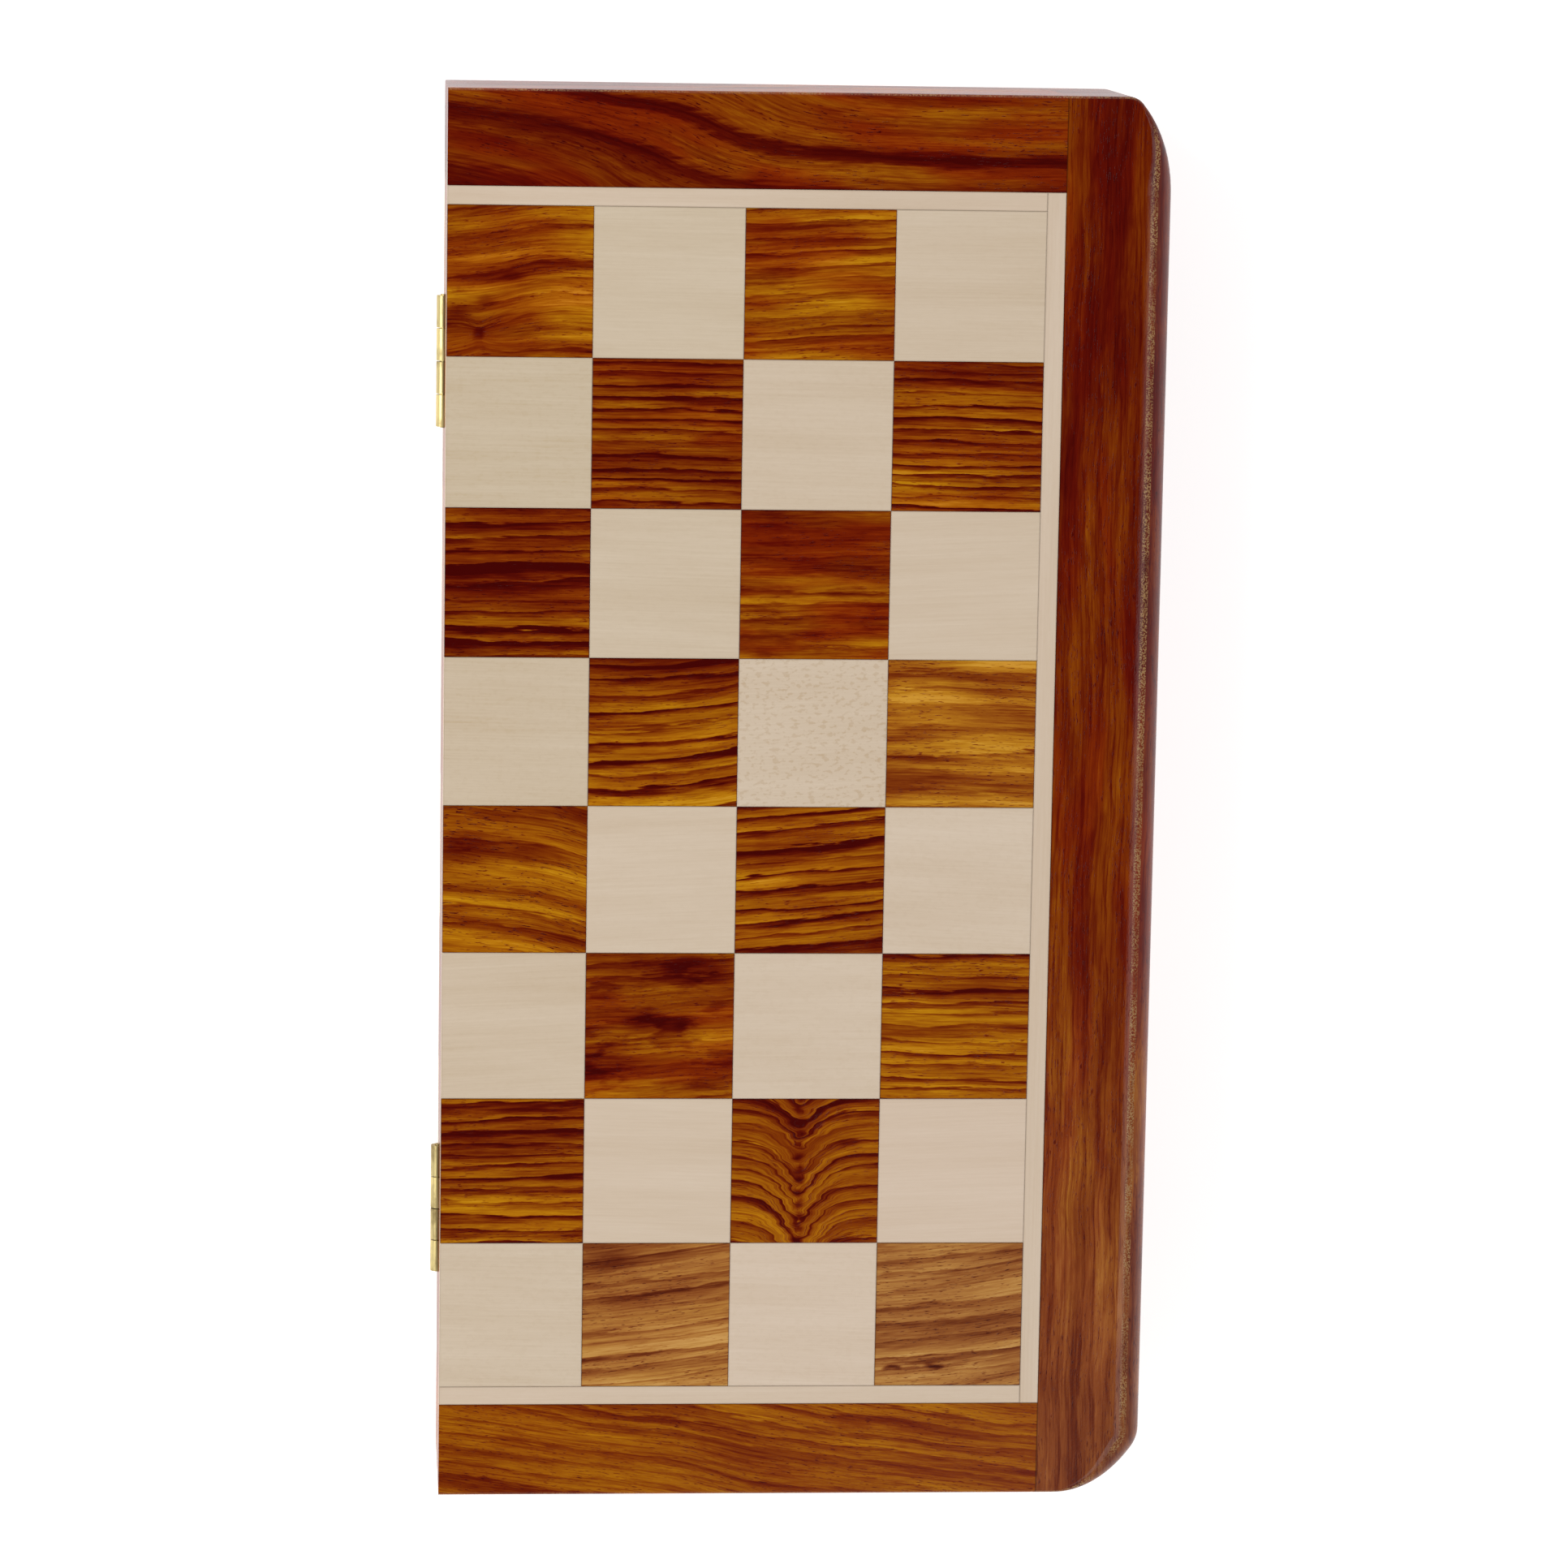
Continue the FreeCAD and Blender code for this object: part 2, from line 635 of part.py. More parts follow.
for item in document.Objects:
    if {"Invalid", "Error"} & set(item.State):
        raise RuntimeError(f"{item.Label} did not recompute: {item.State}")
    if item.TypeId == "PartDesign::Pocket" and item.Shape.Volume >= item.BaseFeature.Shape.Volume - 1e-6:
        raise RuntimeError(f"{item.Label} cuts nothing")
for item in pieces:
    if item.Shape.isNull() or not item.Shape.isValid():
        raise RuntimeError(f"{item.Label} has no valid shape")

os.makedirs("parts", exist_ok=True)
for item in pieces:
    item.Shape.exportStep(f"parts/{item.Label}.step")
print(f"{len(pieces)} pieces written")
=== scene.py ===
import json
from math import radians

import bpy
import numpy as np
from mathutils import Euler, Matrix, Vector


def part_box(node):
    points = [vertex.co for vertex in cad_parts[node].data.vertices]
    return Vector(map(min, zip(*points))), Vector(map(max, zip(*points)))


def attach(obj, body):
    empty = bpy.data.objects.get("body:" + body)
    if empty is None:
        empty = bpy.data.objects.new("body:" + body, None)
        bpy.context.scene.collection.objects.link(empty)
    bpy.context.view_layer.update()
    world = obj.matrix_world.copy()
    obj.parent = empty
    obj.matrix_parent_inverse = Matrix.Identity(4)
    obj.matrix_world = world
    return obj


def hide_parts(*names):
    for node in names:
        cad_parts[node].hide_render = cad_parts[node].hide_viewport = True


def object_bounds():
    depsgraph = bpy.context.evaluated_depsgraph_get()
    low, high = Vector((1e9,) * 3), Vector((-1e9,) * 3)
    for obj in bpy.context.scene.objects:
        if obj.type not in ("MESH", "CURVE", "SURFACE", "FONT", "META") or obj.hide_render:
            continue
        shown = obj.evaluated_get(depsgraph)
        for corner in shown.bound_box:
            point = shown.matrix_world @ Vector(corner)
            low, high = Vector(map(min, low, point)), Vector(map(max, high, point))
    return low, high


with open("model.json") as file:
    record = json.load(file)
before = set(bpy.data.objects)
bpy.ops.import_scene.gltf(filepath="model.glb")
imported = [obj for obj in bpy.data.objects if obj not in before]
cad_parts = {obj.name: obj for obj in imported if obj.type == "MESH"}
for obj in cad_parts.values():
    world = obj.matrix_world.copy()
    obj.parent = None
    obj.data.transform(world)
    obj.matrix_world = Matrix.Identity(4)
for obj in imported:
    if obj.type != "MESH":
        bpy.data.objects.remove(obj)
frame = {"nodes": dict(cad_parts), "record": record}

# A folding wooden chess board: rosewood and maple blocks let into a lacquered rosewood frame, brass butt
# hinges and felt-lined trays. Shapes are worked out in millimetres and put into the meshes in metres.

CAD_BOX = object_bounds()
NODES = frame["nodes"]
MM = 0.001

EASE = 0.1               # radius that sanding leaves on the edges of an inlaid block
GLUE = 0.28              # how far the dark glue line reaches over a block's edge
DARK_CELL = 1.0          # grid spacing that carries the curved figure of a rosewood block
FINE_CELL = 0.5          # and that of a crotch or a crack
LIGHT_CELL = 2.5
FELT_EASE = 0.4
FELT_CELL = 2.5
FELT_WAVE = 0.07         # the felt is glued down, so it only just undulates
FELT_LENGTH = 14         # along either axis its waves are at least 2 pi times this long
LOG = 400                # every block's grain starts anywhere within this distance in the log
LEAN = 0.35              # how far the rings of a frame member step sideways for each millimetre of height
ROWS = 8                 # squares along each side of the open board
FLOOR_LEVEL = -0.3       # the studio floor lies just under the board, so the two faces do not fight
FLOOR_HALF = 6000

FRAME_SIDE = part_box("upper_side_string")[1].x / MM      # plane between the side string and the stile
FRAME_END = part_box("upper_head_rail")[0].y / MM         # plane between an end string and its rail
MIDDLE = (CAD_BOX[0][2] + CAD_BOX[1][2]) / 2 / MM        # the plane in which the two halves meet
SQUARE = (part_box("rank_1_dark_squares")[1].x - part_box("rank_1_dark_squares")[0].x) / MM    # a square's side


# --- shader nodes -------------------------------------------------------------------------------------

SMOOTH = {"interpolation_type": "SMOOTHSTEP"}    # makes a Map Range ease in and out between its two ends


def linear(code):
    """An sRGB hex colour as linear light."""
    values = [int(code[i:i + 2], 16) / 255 for i in (1, 3, 5)]
    return tuple(v / 12.92 if v <= 0.04045 else ((v + 0.055) / 1.055) ** 2.4 for v in values) + (1.0,)


def connect(tree, node, sockets):
    """Give a node's inputs their values: a node or a socket is linked, and anything else is set."""
    for key, value in dict(sockets).items():
        named = [socket for socket in node.inputs if socket.enabled and socket.name == key]
        target = named[0] if named else node.inputs[key]
        if isinstance(value, bpy.types.Node):
            value = next(socket for socket in value.outputs if socket.enabled)
        if isinstance(value, bpy.types.NodeSocket):
            tree.links.new(value, target)
        else:
            target.default_value = value


def add(tree, kind, sockets=(), stops=(), **settings):
    """Add a shader node with its properties and its sockets' values and links.

    stops are a ramp's (place, colour) pairs, and the first two of them are its ends.
    """
    node = tree.nodes.new("ShaderNode" + kind)
    for name, value in settings.items():
        setattr(node, name, value)
    connect(tree, node, sockets)
    for index, (place, colour) in enumerate(stops):
        stops_made = node.color_ramp.elements
        stop = stops_made[index] if index < 2 else stops_made.new(place)
        stop.position = place
        stop.color = linear(colour)
    return node


def empty_material(name):
    """A new node material: itself, its tree and its surface shader."""
    material = bpy.data.materials.new(name)
    material.use_nodes = True
    return material, material.node_tree, material.node_tree.nodes["Principled BSDF"]


def millimetres(tree):
    """Where a point lies in its object, in millimetres."""
    return add(tree, "VectorMath", {0: add(tree, "TexCoord").outputs["Object"], 1: [1 / MM] * 3},
               operation="MULTIPLY").outputs[0]


def field(tree, grain, size, detail=2.0):
    """A smooth random field from 0 to 1 whose blobs measure size = (along, across, deep) in millimetres."""
    scaled = add(tree, "VectorMath", {0: grain, 1: [1 / s for s in size]}, operation="MULTIPLY")
    return add(tree, "TexNoise", {"Vector": scaled, "Scale": 1.0, "Detail": detail, "Roughness": 0.55})


def weighted(tree, base, *terms):
    """base plus the sum of each term's value times its weight."""
    for value, weight in terms:
        base = add(tree, "Math", {0: value, 1: weight, 2: base}, operation="MULTIPLY_ADD")
    return base


# --- materials ----------------------------------------------------------------------------------------

def rosewood(tree, surface, grain, trait, seam, painted_highlight=0.0, speck=0.0):
    """Sheesham, sawn, sanded and spray lacquered.

    The eye sees growth rings cut as stripes, each fading in from one side and ending sharply at the other,
    broken up by the fibres; broad gold and red-brown bands; short dark pores along the grain; and a thin
    lacquer over it all. grain is (along, across, deep) in millimetres, and trait holds how strong each is.
    Where the sixth argument is 1, a light tan painted highlight is mixed in along an edge's round-over, and
    speck is the nibs in the lacquer.
    """
    bands = field(tree, grain, (60, 6.5, 16), 4)
    drift = field(tree, grain, (55, 6, 20), 3)
    fray = field(tree, grain, (7, 0.8, 3), 3)
    fibre = field(tree, grain, (4.5, 0.32, 1.2), 3)
    part = add(tree, "SeparateXYZ", {0: grain})
    rings = add(tree, "Math", {0: part.outputs[1], 1: trait["pitch"]}, operation="DIVIDE")
    rings = weighted(tree, rings, (part.outputs[2], 0.11), (drift, 2.3), (fray, 0.6))
    ring = add(tree, "Math", {0: rings}, operation="FLOOR")
    place = add(tree, "Math", {0: rings}, operation="FRACT")
    lot = add(tree, "TexWhiteNoise", {"W": ring}, noise_dimensions="1D")
    lots = add(tree, "SeparateXYZ", {0: lot.outputs["Color"]})
    narrow = weighted(tree, 1.1, (lots.outputs[0], 4.0))
    rise = add(tree, "Math", {0: place, 1: narrow}, operation="POWER")
    ended = add(tree, "MapRange", {0: place, 1: 1.0, 2: 0.88}, **SMOOTH)
    line = add(tree, "Math", {0: rise, 1: ended}, operation="MULTIPLY")
    share = weighted(tree, 0.30, (lots.outputs[1], 0.9))
    stripe = add(tree, "Math", {0: line, 1: share}, operation="MULTIPLY")
    broken = add(tree, "MapRange", {0: field(tree, grain, (22, 1.2, 6), 3), 1: 0.36, 2: 0.56}, **SMOOTH)
    broken = weighted(tree, 0.50, (broken, 0.38), (fibre, 0.45))
    stripe = add(tree, "Math", {0: stripe, 1: broken}, operation="MULTIPLY")

    thin = add(tree, "MapRange", {0: field(tree, grain, (26, 0.55, 5), 3), 1: 0.48, 2: 0.66}, **SMOOTH)
    pores = add(tree, "MapRange", {0: field(tree, grain, (1.9, 0.26, 0.8), 1), 1: 0.62, 2: 0.70}, **SMOOTH)
    pored = add(tree, "MapRange", {0: field(tree, grain, (20, 5, 9), 2), 1: 0.36, 2: 0.58}, **SMOOTH)
    pored = add(tree, "Math", {0: pores, 1: pored}, operation="MULTIPLY")
    pored = add(tree, "Math", {0: pored, 1: trait["pores"]}, operation="MULTIPLY")
    blotch = add(tree, "MapRange", {0: field(tree, grain, (13, 3.8, 10), 4), 1: 0.50, 2: 0.64}, **SMOOTH)
    blotch = add(tree, "Math", {0: blotch, 1: trait["blotch"]}, operation="MULTIPLY")
    stripe = add(tree, "Math", {0: stripe, 1: trait["stripes"]}, operation="MULTIPLY")
    broad = weighted(tree, -0.5, (bands, 1.0))
    broad = add(tree, "Math", {0: broad, 1: trait["bands"]}, operation="MULTIPLY")
    dark = weighted(tree, -0.14, (trait["tone"], 1.0), (broad, 1.5), (stripe, 0.9), (thin, 0.12),
                    (pored, 0.34), (blotch, 0.40), (fibre, 0.36))

    gold = add(tree, "ValToRGB", {0: dark}, [
        (0.0, "#DCA02C"), (1.0, "#480200"), (0.14, "#C6860C"), (0.30, "#AA6406"), (0.48, "#8A3E02"),
        (0.66, "#702200"), (0.82, "#5C0D00")])
    red = add(tree, "ValToRGB", {0: dark}, [
        (0.0, "#C87016"), (1.0, "#440100"), (0.22, "#A24804"), (0.45, "#822600"), (0.70, "#620B00")])
    tan = add(tree, "ValToRGB", {0: dark}, [
        (0.0, "#D4AA72"), (1.0, "#42160A"), (0.22, "#BC884E"), (0.45, "#9A6032"), (0.70, "#703818")])
    redness = add(tree, "MapRange", {0: field(tree, grain, (34, 6.5, 12), 2), 1: 0.38, 2: 0.62}, **SMOOTH)
    redness = add(tree, "Math", {0: redness, 1: trait["red"]}, operation="MULTIPLY", use_clamp=True)
    colour = add(tree, "Mix", {"Factor": redness, "A": gold, "B": red}, data_type="RGBA")
    colour = add(tree, "Mix", {"Factor": trait["tan"], "A": colour, "B": tan}, data_type="RGBA")
    glued = add(tree, "Mix", {"Factor": seam, "A": colour, "B": linear("#2C0E02")}, data_type="RGBA")
    # Painted highlight: light tan #A67E50 is mixed in along the round-over, where the streak of reflected light
    # lies.
    glued = add(tree, "Mix", {"Factor": painted_highlight, "A": glued, "B": linear("#A67E50")}, data_type="RGBA")

    rough = weighted(tree, 0.40, (fibre, 0.08), (pored, 0.15))
    height = weighted(tree, 0.0, (fibre, 0.5), (pored, -1.0), (thin, -0.15), (speck, 0.9))
    bump = add(tree, "Bump", {"Strength": 0.35, "Distance": 0.00004, "Height": height})
    connect(tree, surface, {"Base Color": glued, "Roughness": rough, "Normal": bump, "Coat Normal": bump,
                            "IOR": 1.5, "Specular IOR Level": 0.0, "Coat Weight": 0.62,
                            "Coat Roughness": 0.17, "Coat IOR": 1.48})


def attribute(tree, name):
    """The vector of a piece's own attribute, and its three components."""
    vector = add(tree, "Attribute", attribute_name=name).outputs["Vector"]
    return vector, add(tree, "SeparateXYZ", {0: vector}).outputs


def rosewood_for_blocks():
    """The inlaid rosewood squares: every block brings its own grain, tone and habit as attributes."""
    material, tree, surface = empty_material("lacquered_rosewood_squares")
    grain = attribute(tree, "grain")[0]
    tone, habit, extra = (attribute(tree, name)[1] for name in ("tone", "habit", "extra"))
    trait = {"tone": tone[0], "bands": tone[1], "stripes": tone[2], "red": habit[0], "tan": habit[1],
             "pitch": habit[2], "pores": extra[0], "blotch": extra[1]}
    rosewood(tree, surface, grain, trait, extra[2])
    return material


def rosewood_for_frame(name, lengthways, trait, shift, planes=()):
    """Rosewood for a frame member, whose grain runs along the axis lengthways, in the object's own space.

    Its rings wander by a broad noise, step sideways with height, and slope with length. sweep is (rise,
    centre, level, skew, width): across grows by rise * tanh((along - centre - skew * (across - level)) /
    width), which makes the rings fall to one side. droop is (start, rate): before start they fall at that
    rate. streaks are dark heartwood bands, as (across, darkness) stops on the upper playing face, and fray
    is how far their edges stray. fade and pale are (from, to, amount) along Y, for the tone and the tan.
    rim is the range of heights from the middle plane where a speckled, light tan painted highlight lies
    along the round-over. planes are the glued joints that show as a hair line: x is the stile's plane, y the
    rails' plane.
    """
    material, tree, surface = empty_material(name)
    place = millimetres(tree)
    part = add(tree, "SeparateXYZ", {0: place})
    order = {"x": (0, 1, 2), "y": (1, 0, 2)}[lengthways]
    along, across, deep = (part.outputs[i] for i in order)
    wide = add(tree, "VectorMath", {0: place, 1: [1 / 70, 1 / 45, 1 / 60]}, operation="MULTIPLY")
    wander = add(tree, "TexNoise", {"Vector": wide, "Scale": 1.0, "Detail": 2.0})
    tones = {key: trait[key] for key in
             ("tone", "bands", "stripes", "red", "tan", "pitch", "pores", "blotch")}
    if "sweep" in trait:
        rise, centre, level, skew, width = trait["sweep"]
        start, rate = trait["droop"]
        turn = weighted(tree, (skew * level - centre) / width, (along, 1 / width), (across, -skew / width))
        turn = add(tree, "Math", {0: turn}, operation="TANH")
        before = add(tree, "Math", {0: weighted(tree, -start, (along, 1.0)), 1: 0.0}, operation="MINIMUM")
        across = weighted(tree, across, (turn, rise), (before, rate))
    across = weighted(tree, across, (wander, trait["wander"]), (deep, LEAN), (along, trait["slope"]))
    if "streaks" in trait:
        first, last = trait["streaks"][0][0], trait["streaks"][1][0]
        added = 0.5 * trait["wander"] + LEAN * CAD_BOX[1][2] / MM
        frayed = weighted(tree, -0.5 * trait["fray"] - added, (across, 1.0),
                          (field(tree, place, (9, 0.9, 3), 4), trait["fray"]))
        ruler = add(tree, "MapRange", {"Value": frayed, "From Min": first, "From Max": last})
        stops = [((at - first) / (last - first), "#" + f"{int(255 * much):02X}" * 3)
                 for at, much in trait["streaks"]]
        streak = add(tree, "ValToRGB", {0: ruler}, stops)
        streak.color_ramp.interpolation = "EASE"
        tones["tone"] = weighted(tree, tones["tone"], (streak, trait["streaking"]))
    # fade and pale paint a tone gradient along Y; on the stile it is partly the wood's own tone and partly
    # painted sheen.
    for key, name_of in (("fade", "tone"), ("pale", "tan")):
        if key in trait:
            low, high, amount = trait[key]
            y_ramp = add(tree, "MapRange", {0: part.outputs[1], 1: low, 2: high}, **SMOOTH)
            tones[name_of] = weighted(tree, tones[name_of], (y_ramp, amount))
    grain = add(tree, "CombineXYZ", {0: along, 1: across, 2: deep})
    grain = add(tree, "VectorMath", {0: grain, 1: shift}, operation="ADD").outputs[0]
    seam = 0.0
    for axis, plane in (("x", FRAME_SIDE), ("y", FRAME_END)):
        if axis in planes:
            far = part.outputs[0] if axis == "x" else add(tree, "Math", {0: part.outputs[1]},
                                                          operation="ABSOLUTE")
            far = add(tree, "Math", {0: far, 1: plane}, operation="SUBTRACT")
            far = add(tree, "Math", {0: far}, operation="ABSOLUTE")
            near = add(tree, "MapRange", {0: far, 1: 0.22, 2: 0.06}, **SMOOTH)
            seam = add(tree, "Math", {0: near, 1: 0.55, 2: seam}, operation="MULTIPLY_ADD")
    # Painted highlight: a speckled light band on the round-over, between the two heights of rim, broken up in
    # patches.
    rim = add(tree, "Math", {0: deep, 1: MIDDLE}, operation="SUBTRACT")
    rim = add(tree, "Math", {0: rim}, operation="ABSOLUTE")
    low, high = trait["rim"]
    inner = add(tree, "MapRange", {0: rim, 1: low, 2: low + 0.12}, **SMOOTH)
    outer = add(tree, "MapRange", {0: rim, 1: high, 2: high - 0.06}, **SMOOTH)
    painted_highlight = add(tree, "Math", {0: inner, 1: outer}, operation="MULTIPLY")
    speck = field(tree, place, (0.34, 0.34, 0.34), 1)
    patchy = field(tree, place, (9, 9, 9), 3)
    dotted = add(tree, "MapRange", {0: speck, 1: 0.44, 2: 0.58}, **SMOOTH)
    highlight_speckle = add(tree, "MapRange", {0: patchy, 1: 0.30, 2: 0.60}, **SMOOTH)
    highlight_speckle = add(tree, "Math", {0: dotted, 1: highlight_speckle}, operation="MULTIPLY")
    painted_highlight = add(tree, "Math", {0: painted_highlight, 1: highlight_speckle}, operation="MULTIPLY")
    painted_highlight = add(tree, "Math", {0: painted_highlight, 1: trait["painted_highlight_amount"]}, operation="MULTIPLY")
    rosewood(tree, surface, grain, tones, seam, painted_highlight, speck)
    return material


def lacquered_maple():
    """Hard maple, quarter sawn, sanded and lacquered: cream, with faint hair lines and short tan flecks."""
    material, tree, surface = empty_material("lacquered_maple")
    grain = attribute(tree, "grain")[0]
    tone, extra = (attribute(tree, name)[1] for name in ("tone", "extra"))
    wide = field(tree, grain, (60, 7, 9), 2)
    hair = field(tree, grain, (30, 0.5, 3), 3)
    fibre = field(tree, grain, (4, 0.3, 1), 2)
    fleck = add(tree, "MapRange", {0: field(tree, grain, (1.5, 0.9, 1), 2), 1: 0.52, 2: 0.62}, **SMOOTH)
    fleck = add(tree, "Math", {0: fleck, 1: tone[2]}, operation="MULTIPLY")
    dark = weighted(tree, -0.47, (tone[0], 1.0), (wide, 0.42), (hair, 0.34), (fibre, 0.18), (fleck, 0.24))
    cream = add(tree, "ValToRGB", {0: dark}, [(0.0, "#E0D2BA"), (1.0, "#B0946C"), (0.4, "#D1C0A4"),
                                              (0.7, "#C4AE88")])
    pink = add(tree, "ValToRGB", {0: dark}, [(0.0, "#E4D0BC"), (1.0, "#BC987A"), (0.4, "#D8C1A9"),
                                             (0.7, "#CBAF92")])
    colour = add(tree, "Mix", {"Factor": tone[1], "A": cream, "B": pink}, data_type="RGBA")
    glued = add(tree, "Mix", {"Factor": extra[2], "A": colour, "B": linear("#4A3014")}, data_type="RGBA")
    height = weighted(tree, 0.0, (fibre, 1.0), (hair, 0.5))
    bump = add(tree, "Bump", {"Strength": 0.15, "Distance": 0.00003, "Height": height})
    rough = weighted(tree, 0.36, (fibre, 0.10))
    connect(tree, surface, {"Base Color": glued, "Roughness": rough, "Normal": bump, "IOR": 1.5,
                            "Specular IOR Level": 0.0, "Coat Weight": 0.7, "Coat Roughness": 0.2})
    return material


def birch_plywood():
    """Thin birch plywood: pale faces, and three veneers that show as stripes on an edge."""
    material, tree, surface = empty_material("birch_plywood")
    place = millimetres(tree)
    rays = field(tree, place, (1.2, 30, 2), 3)
    veneer = add(tree, "SeparateXYZ", {0: place}).outputs[2]
    veneer = add(tree, "Math", {0: veneer, 1: 2.0}, operation="PINGPONG")
    middle = add(tree, "MapRange", {0: veneer, 1: 0.7, 2: 1.0}, **SMOOTH)
    dark = weighted(tree, -0.1, (rays, 0.7), (middle, 0.35))
    colour = add(tree, "ValToRGB", {0: dark}, [(0.0, "#E2CDA8"), (1.0, "#A07C4E")])
    connect(tree, surface, {"Base Color": colour, "Roughness": 0.62})
    return material


def wool_felt():
    """Pressed green wool felt: matt, with matted fibres, loose paler hairs and hardly any sheen."""
    material, tree, surface = empty_material("green_wool_felt")
    place = millimetres(tree)
    mat = field(tree, place, (0.5, 0.5, 0.5), 5)
    cloud = field(tree, place, (14, 14, 14), 3)
    hairs = add(tree, "TexNoise", {"Vector": place, "Scale": 0.9, "Detail": 4.0, "Distortion": 3.5})
    hair = add(tree, "MapRange", {0: hairs.outputs["Fac"], 1: 0.56, 2: 0.66}, **SMOOTH)
    shade = weighted(tree, -0.35, (mat, 1.0), (cloud, 0.45), (hair, 0.30))
    colour = add(tree, "ValToRGB", {0: shade}, [(0.0, "#0B2A1B"), (1.0, "#3F7355"), (0.5, "#1D4A33")])
    height = weighted(tree, mat, (hair, 0.5))
    bump = add(tree, "Bump", {"Strength": 0.7, "Distance": 0.0002, "Height": height})
    connect(tree, surface, {"Base Color": colour, "Normal": bump, "Roughness": 0.95,
                            "Specular IOR Level": 0.1, "Sheen Weight": 0.08, "Sheen Roughness": 0.5})
    return material


def rolled_brass(name, tarnish):
    """Pressed sheet brass, tumbled and then handled: satin yellow metal, browner where it is tarnished."""
    material, tree, surface = empty_material(name)
    place = millimetres(tree)
    stain = field(tree, place, (3.2, 5, 3.2), 4)
    drawn = field(tree, place, (0.25, 9, 0.25), 2)
    dull = add(tree, "MapRange", {0: stain, 1: 0.45, 2: 0.72}, **SMOOTH)
    metal = add(tree, "ValToRGB", {0: weighted(tree, tarnish, (dull, 0.5), (drawn, 0.3))},
                [(0.0, "#E2CE8C"), (1.0, "#8C7A50"), (0.4, "#C8B680")])
    bump = add(tree, "Bump", {"Strength": 0.25, "Distance": 0.00004, "Height": drawn})
    rough = weighted(tree, 0.30, (dull, 0.22), (drawn, 0.08))
    connect(tree, surface, {"Base Color": metal, "Roughness": rough, "Normal": bump, "Metallic": 1.0})
    return material


def nickel_plate():
    """Bright nickel over a sintered magnet: cool silver, with a faint orange peel and fine rub marks."""
    material, tree, surface = empty_material("nickel_plated_magnets")
    place = millimetres(tree)
    peel = field(tree, place, (0.6, 0.6, 0.6), 3)
    rub = add(tree, "MapRange", {0: field(tree, place, (4, 0.2, 2), 3), 1: 0.55, 2: 0.7}, **SMOOTH)
    colour = add(tree, "ValToRGB", {0: weighted(tree, 0.0, (rub, 0.6), (peel, 0.3))},
                 [(0.0, "#D4D2CB"), (1.0, "#A9A69C")])
    bump = add(tree, "Bump", {"Strength": 0.2, "Distance": 0.00003, "Height": peel})
    rough = weighted(tree, 0.16, (rub, 0.2))
    connect(tree, surface, {"Base Color": colour, "Roughness": rough, "Normal": bump, "Metallic": 1.0})
    return material


# --- shapes -------------------------------------------------------------------------------------------

def grid_lines(low, high, cell, ease):
    """Lines from wall to wall: close ones in the eased edge and the glue line, and evenly spaced between.

    In an edge of radius e they stand where a quarter circle has turned 0, 30, 60 and 90 degrees, which is
    e * (1 - cos(turn)) from the wall.
    """
    near = np.append(ease * (1 - np.cos(np.radians([0, 30, 60, 90]))), max(GLUE, 2 * ease))
    count = max(3, int(round((high - low - 2 * near[-1]) / cell)) + 1)
    middle = np.linspace(low + near[-1], high - near[-1], count)
    return np.concatenate([low + near[:-1], middle, high - near[-2::-1]])


def edge_fall(lines, ease):
    """How far a face falls at each line, and each line's distance d from the nearest wall.

    Within an edge of radius e the fall is e - sqrt(e^2 - (e - d)^2), and further in it is 0.
    """
    distance = np.minimum(lines - lines[0], lines[-1] - lines)
    inside = np.clip(ease - distance, 0, ease)
    return ease - np.sqrt(ease ** 2 - inside ** 2), distance


def eased_block(low, high, axis, sign, cell, ease, ripple=None):
    """A closed block whose finished face looks along sign * axis, with its border rounded over.

    The face is a surface of two parameters that run from wall to wall across the other two axes. Its level
    falls by the larger of the two parameters' edge falls, and ripple adds a gentle wave in from the walls.
    The back is the same grid laid flat, and one row of walls joins the two borders. Returns points, quads
    and the distance of each point from the nearest wall.
    """
    one, two = (axis + 1) % 3, (axis + 2) % 3
    u, v = grid_lines(low[one], high[one], cell, ease), grid_lines(low[two], high[two], cell, ease)
    fall_u, from_u = edge_fall(u, ease)
    fall_v, from_v = edge_fall(v, ease)
    inset = np.minimum(from_u[:, None], from_v[None, :])
    level, back = (high[axis], low[axis]) if sign > 0 else (low[axis], high[axis])
    face = np.empty((len(u), len(v), 3))
    face[..., one], face[..., two] = u[:, None], v[None, :]
    fall = np.maximum(fall_u[:, None], fall_v[None, :])
    if ripple is not None:
        fall = fall + ripple(face[..., one], face[..., two]) * np.clip(inset / (4 * ease), 0, 1)
    face[..., axis] = level - sign * fall
    under = face.copy()
    under[..., axis] = back
    index = np.arange(face[..., 0].size).reshape(face.shape[:2])
    front = np.stack([index[:-1, :-1], index[1:, :-1], index[1:, 1:], index[:-1, 1:]], -1).reshape(-1, 4)
    rim = np.concatenate([index[:-1, 0], index[-1, :-1], index[:0:-1, -1], index[0, :0:-1]])
    after = np.roll(rim, -1)
    walls = np.stack([after, rim, rim + index.size, after + index.size], -1)
    quads = np.concatenate([front, front[:, ::-1] + index.size, walls])
    if sign < 0:
        quads = quads[:, ::-1]
    points = np.concatenate([face.reshape(-1, 3), under.reshape(-1, 3)])
    return points, quads, np.concatenate([inset.ravel(), np.zeros(index.size)])


